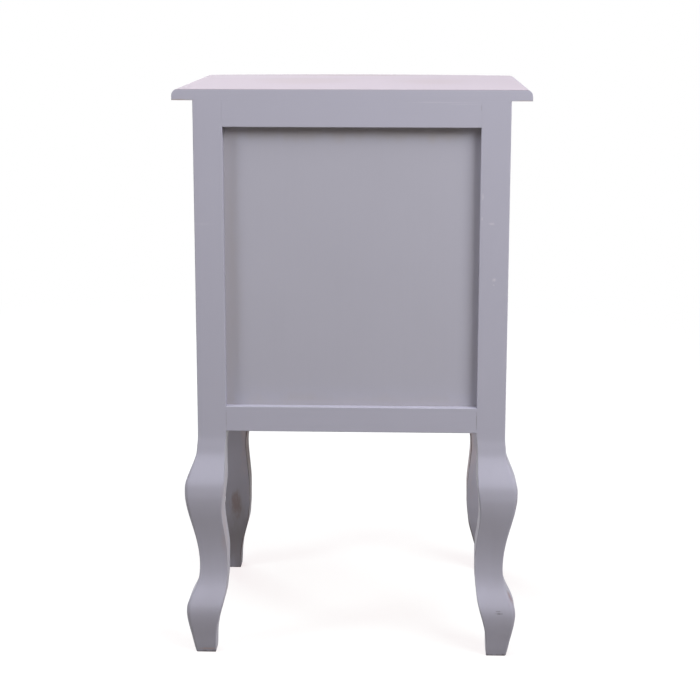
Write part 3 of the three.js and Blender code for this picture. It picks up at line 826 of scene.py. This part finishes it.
# Drawers: each has a bowed front with a raised border, sides dovetailed into it, a back
# between the sides, and a plywood bottom slid into grooves. Only the front is painted.
front_edge = 0.0011
front_edge_steps = 3
joint_edge = 0.0002
back_edge = 0.0006
hole_reach = 0.004
ply_pale = (0.70, 0.53, 0.34, 1)
ply_dark = (0.54, 0.37, 0.21, 1)
ply_core = (0.36, 0.23, 0.12, 1)
ply_heart = (0, 0, -0.6)
side_pine = {
    side: raw_wood(f"{side} drawer side pine", "Y", pine_pale, pine_dark, (heart, 0, 0.20))
    for side, heart in (("left", -0.21), ("right", 0.24))
}
back_pine = raw_wood("drawer back pine", "X", pine_pale, pine_dark, (0, 0.20, 0.33))
front_pine = raw_wood("drawer front back pine", "X", pine_pale, pine_dark, (0, -0.05, 0.22))
plywood = raw_wood("plywood face", "X", ply_pale, ply_dark, ply_heart, ring_share=0.25, dull=0.66)
ply_edges = raw_wood("plywood edge", "X", ply_pale, ply_core, ply_heart, ring_share=1.4, dull=0.78)
drawer_paint = painted("drawer front paint", "X", 0.52)


def drawer_front(body):
    """A front whose show edges are rounded; its dovetails, groove and screw hole stay sharp."""
    low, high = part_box(f"{body}_front")
    tails_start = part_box(f"{body}_left_side")[0].y - joint_edge
    knob_low, knob_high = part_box(f"{body}_knob")
    knob_height = (knob_low.z + knob_high.z) / 2

    def stays_sharp(edge):
        bored = all(math.hypot(vert.co.x, vert.co.z - knob_height) < hole_reach for vert in edge.verts)
        joined = any(vert.co.y > tails_start for vert in edge.verts)
        outside = any(
            all(abs(vert.co.z - height) < joint_edge for vert in edge.verts)
            for height in (low.z, high.z))
        return bored or (joined and not outside)

    def is_end(face):
        return abs(face.normal.x) > squarely_facing

    shape = copy_of(f"{body}_front")
    soften(shape, front_edge, front_edge_steps, spare=stays_sharp, whole=is_end)
    raw_inside(shape, Vector((0, 1, 0)))
    return shape


for level in levels:
    body = f"{level}_drawer"
    front = drawer_front(body)
    finish_piece(front, f"{body}_front", body, "painted_wood", drawer_paint, front_pine)
    for side in sides:
        add_plain(f"{body}_{side}_side", body, joint_edge, "bare_wood", side_pine[side])
    add_plain(f"{body}_back", body, back_edge, "bare_wood", back_pine)
    bottom = copy_of(f"{body}_bottom")
    soften(bottom, joint_edge, reach=0)
    for face in bottom.faces:
        face.material_index = 0 if abs(face.normal.z) > roughly_facing else 1
    finish_piece(bottom, f"{body}_bottom", body, "plywood", plywood, ply_edges)


# Knobs: turned brass, one in the middle of each drawer front, with a small foot, a waist
# and a rounded head with a turned ring. A screw from inside the drawer holds each one.
knob_steps = 64
knob_hole = 0.0023
knob_hole_depth = 0.0123
knob_foot = 0.0090
knob_foot_depth = 0.0025
knob_foot_round = 0.0015
knob_foot_steps = 5
knob_waist = 0.0053
knob_waist_depth = 0.0058
knob_flare = 0.0006
knob_ring_share = 0.90
knob_ring_low = 0.0092
knob_ring_high = 0.0106
knob_ring_round = 0.0004
knob_lip = 0.0022
knob_groove = 0.0010
knob_groove_rise = 0.0003
knob_head_drop = 0.0008
knob_head_start = -1.05
knob_head_steps = 14
brass_brown = (0.33, 0.225, 0.11, 1)
brass_rubbed = (0.50, 0.365, 0.20, 1)
# A dark brown for the patina in the knob's waist and for the painted shade on its head
brass_hollow_and_shade = (0.10, 0.065, 0.035, 1)
brass_smoothest, brass_roughest = 0.28, 0.42
hollow_dullness = 0.25
hollow_and_shade_share = 0.8
rim_darkening_share = 0.6
patina_waves = 130
turning_scale = 700.0
turning_waver = 0.6
turning_share = 0.25
brass_depth = 0.00008


def aged_brass(name, height):
    """Old brass, browned in its hollows, rubbed bright where hands touch it, and given painted shade on
    its head.
    """
    material, tree, shader, place = new_finish(name)
    centred = moved(tree, place, (0, 0, height))
    patina = cloud(tree, centred, patina_waves, detail=5, roughness=0.62)
    shade = blended(tree, spread(tree, patina, noise_low, noise_high), brass_brown, brass_rubbed)
    hollow_and_shade = put(tree, "ShaderNodeAttribute", attribute_name="hollow_and_shade").outputs["Fac"]
    dull = spread(tree, patina, noise_low, noise_high, brass_roughest, brass_smoothest)
    turning = put(tree, "ShaderNodeTexWave", {
        "Vector": centred, "Scale": turning_scale, "Distortion": turning_waver,
    }, wave_type="RINGS", rings_direction="Y").outputs["Fac"]
    raised = figure(tree, "MULTIPLY_ADD", turning, turning_share, patina)
    feed(tree, shader, {
        "Base Color": blended(tree, figure(tree, "MULTIPLY", hollow_and_shade, hollow_and_shade_share), shade, brass_hollow_and_shade),
        "Metallic": 1,
        "Roughness": figure(tree, "MULTIPLY_ADD", hollow_and_shade, hollow_dullness, dull),
        "Normal": relief(tree, raised, brass_depth, strength=0.5),
    })
    return material


def knob_shape(low, high):
    """A knob turned from its screw hole round its foot, waist, ring and head to its tip."""
    middle = (low + high) / 2
    radius = high.x
    length = high.y - low.y
    ring = radius * knob_ring_share
    head_low = knob_ring_high + knob_groove_rise
    head_middle = (head_low + length) / 2 - knob_head_drop

    def place(out, along):
        return Vector((out, high.y - along, middle.z))

    shape = bmesh.new()
    last = shape.verts.new(place(0, knob_hole_depth))
    for out, along in (
        (knob_hole, knob_hole_depth),
        (knob_hole, 0),
        (knob_foot, 0),
        (knob_foot, knob_foot_depth - knob_foot_round),
    ):
        last = line_to(shape, last, place(out, along))
    foot_centre = place(knob_foot - knob_foot_round, knob_foot_depth - knob_foot_round)
    last = arc_to(shape, last, foot_centre, up, math.pi / 2, knob_foot_steps)
    for out, along in (
        (knob_waist + knob_flare, knob_foot_depth + knob_flare),
        (knob_waist, knob_waist_depth),
        (knob_waist + 2 * knob_ring_round, knob_ring_low - 3 * knob_ring_round),
        (ring - knob_lip, knob_ring_low),
        (ring - knob_ring_round, knob_ring_low + knob_ring_round / 2),
        (ring, (knob_ring_low + knob_ring_high) / 2),
        (ring - knob_ring_round, knob_ring_high),
        (ring - knob_groove, head_low),
    ):
        last = line_to(shape, last, place(out, along))
    for step in range(knob_head_steps + 1):
        angle = knob_head_start + (math.pi / 2 - knob_head_start) * step / knob_head_steps
        rise = length - head_middle
        if angle <= 0:
            rise = (head_middle - head_low) / math.sin(-knob_head_start)
        out = radius * math.cos(angle) if step < knob_head_steps else 0
        last = line_to(shape, last, place(out, head_middle + rise * math.sin(angle)))
    bmesh.ops.spin(
        shape, geom=shape.verts[:] + shape.edges[:], cent=middle, axis=(0, 1, 0),
        angle=math.tau, steps=knob_steps, use_merge=True)
    bmesh.ops.remove_doubles(shape, verts=shape.verts, dist=0.2 * touching)
    bmesh.ops.recalc_face_normals(shape, faces=shape.faces)

    # How dark each point is made: wholly in the waist, where patina gathers, and on the head less towards
    # the crown, as painted shade and as the wear of hands
    layer = shape.verts.layers.float.new("hollow_and_shade")
    for vert in shape.verts:
        out = math.hypot(vert.co.x, vert.co.z - middle.z)
        along = high.y - vert.co.y
        crown = (along - head_low) / (length - head_low)
        vert[layer] = rim_darkening_share * (1 - min(max(crown, 0), 1)) ** 2
        in_waist = knob_foot_depth - knob_ring_round / 2 < along < head_low + knob_ring_round
        if in_waist and out < ring - 2 * knob_ring_round:
            vert[layer] = 1
    return shape


for level in levels:
    body = f"{level}_drawer"
    low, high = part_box(f"{body}_knob")
    brass = aged_brass(f"{level} knob brass", (low.z + high.z) / 2)
    finish_piece(knob_shape(low, high), f"{body}_knob", body, "brass", brass)
    add_plain(f"{body}_knob_screw", body, screw_edge, "steel", screw_steel)


# Studio: a pale floor and an even pale surround, broad soft lamps behind the chest on both
# sides, overhead and in front, and a small window lamp. The camera and clear reflections
# see the floor and the surround as white, with the chest's soft shadow kept.
def seen_directly(tree):
    """1 for rays from the camera, from glossy surfaces and through clear ones."""
    path = put(tree, "ShaderNodeLightPath").outputs
    seen = figure(tree, "MAXIMUM", path["Is Camera Ray"], path["Is Glossy Ray"])
    return figure(tree, "MAXIMUM", seen, path["Is Transmission Ray"])


def lit(tree, kind, colour, **strength):
    """What a plain floor or surround gives back or sends out."""
    return put(tree, "ShaderNode" + kind, {"Color": colour, **strength}).outputs[0]


def mixed(tree, share, first, second):
    """Two surfaces mixed by a share."""
    return put(tree, "ShaderNodeMixShader", {0: share, 1: first, 2: second}).outputs[0]


white = (1, 1, 1, 1)
floor_half = 30.0
floor_bounce = (0.235, 0.210, 0.175, 1)
floor_seen = (0.200, 0.285, 0.270, 1)
floor_glow = (0.852, 0.775, 0.785, 1)
shade_reach = 0.7
shade_end = 2.2
floor_shape = bmesh.new()
bmesh.ops.create_grid(floor_shape, x_segments=1, y_segments=1, size=floor_half)
floor_mesh = bpy.data.meshes.new("floor")
floor_shape.to_mesh(floor_mesh)
floor_shape.free()
floor = bpy.data.objects.new("floor", floor_mesh)
bpy.context.scene.collection.objects.link(floor)
floor_material = bpy.data.materials.new("floor")
floor_material.use_nodes = True
tree = floor_material.node_tree
tree.nodes.clear()
place = put(tree, "ShaderNodeTexCoord").outputs["Object"]
away = vectors(tree, "LENGTH", place)["Value"]
shadowed = lit(tree, "BsdfDiffuse", floor_seen)
glow = lit(tree, "Emission", floor_glow, Strength=1.0)
near = put(tree, "ShaderNodeAddShader", {0: shadowed, 1: glow}).outputs[0]
far = lit(tree, "Emission", white, Strength=1.0)
bright = mixed(tree, spread(tree, away, shade_reach, shade_end), near, far)
shown = mixed(tree, seen_directly(tree), lit(tree, "BsdfDiffuse", floor_bounce), bright)
put(tree, "ShaderNodeOutputMaterial", {"Surface": shown})
floor_mesh.materials.append(floor_material)

surround_strength = 0.03
world = bpy.data.worlds.new("surround")
bpy.context.scene.world = world
world.use_nodes = True
tree = world.node_tree
tree.nodes.clear()
even = lit(tree, "Background", white, Strength=surround_strength)
clear = lit(tree, "Background", white, Strength=1.0)
put(tree, "ShaderNodeOutputWorld", {"Surface": mixed(tree, seen_directly(tree), even, clear)})

lamp_target = Vector((0, 0, 0.4))
near_white = (1, 0.99, 0.99)


def add_lamp(name, turn, rise, distance, width, depth, power, colour, gleams=True):
    """A broad soft lamp that looks at the chest, isn't itself seen and may leave no gleam.

    It is placed by its turn from straight behind towards +X, its rise and its distance.
    """
    turn, rise = math.radians(turn), math.radians(rise)
    way = Vector((math.sin(turn) * math.cos(rise), math.cos(turn) * math.cos(rise), math.sin(rise)))
    lamp = bpy.data.objects.new(name, bpy.data.lights.new(name, "AREA"))
    lamp.data.shape = "RECTANGLE"
    lamp.data.size = width
    lamp.data.size_y = depth
    lamp.data.energy = power
    lamp.data.color = colour
    lamp.location = lamp_target + distance * way
    lamp.rotation_euler = (-way).to_track_quat("-Z", "Y").to_euler()
    lamp.visible_camera = False
    lamp.visible_glossy = gleams
    bpy.context.scene.collection.objects.link(lamp)


add_lamp("key lamp", -45, 35, 2.4, 1.2, 1.2, 43, near_white, False)
add_lamp("side lamp", 58, 33, 2.6, 0.7, 1.1, 23, near_white, False)
add_lamp("overhead lamp", 0, 80, 1.9, 1.5, 1.5, 17, (1, 0.97, 0.98))
add_lamp("window lamp", 146, 42, 2.0, 0.35, 0.5, 3, (1, 1, 1))
add_lamp("front lamp", 160, 22, 2.4, 1.6, 1.4, 40, (1, 0.99, 1), False)
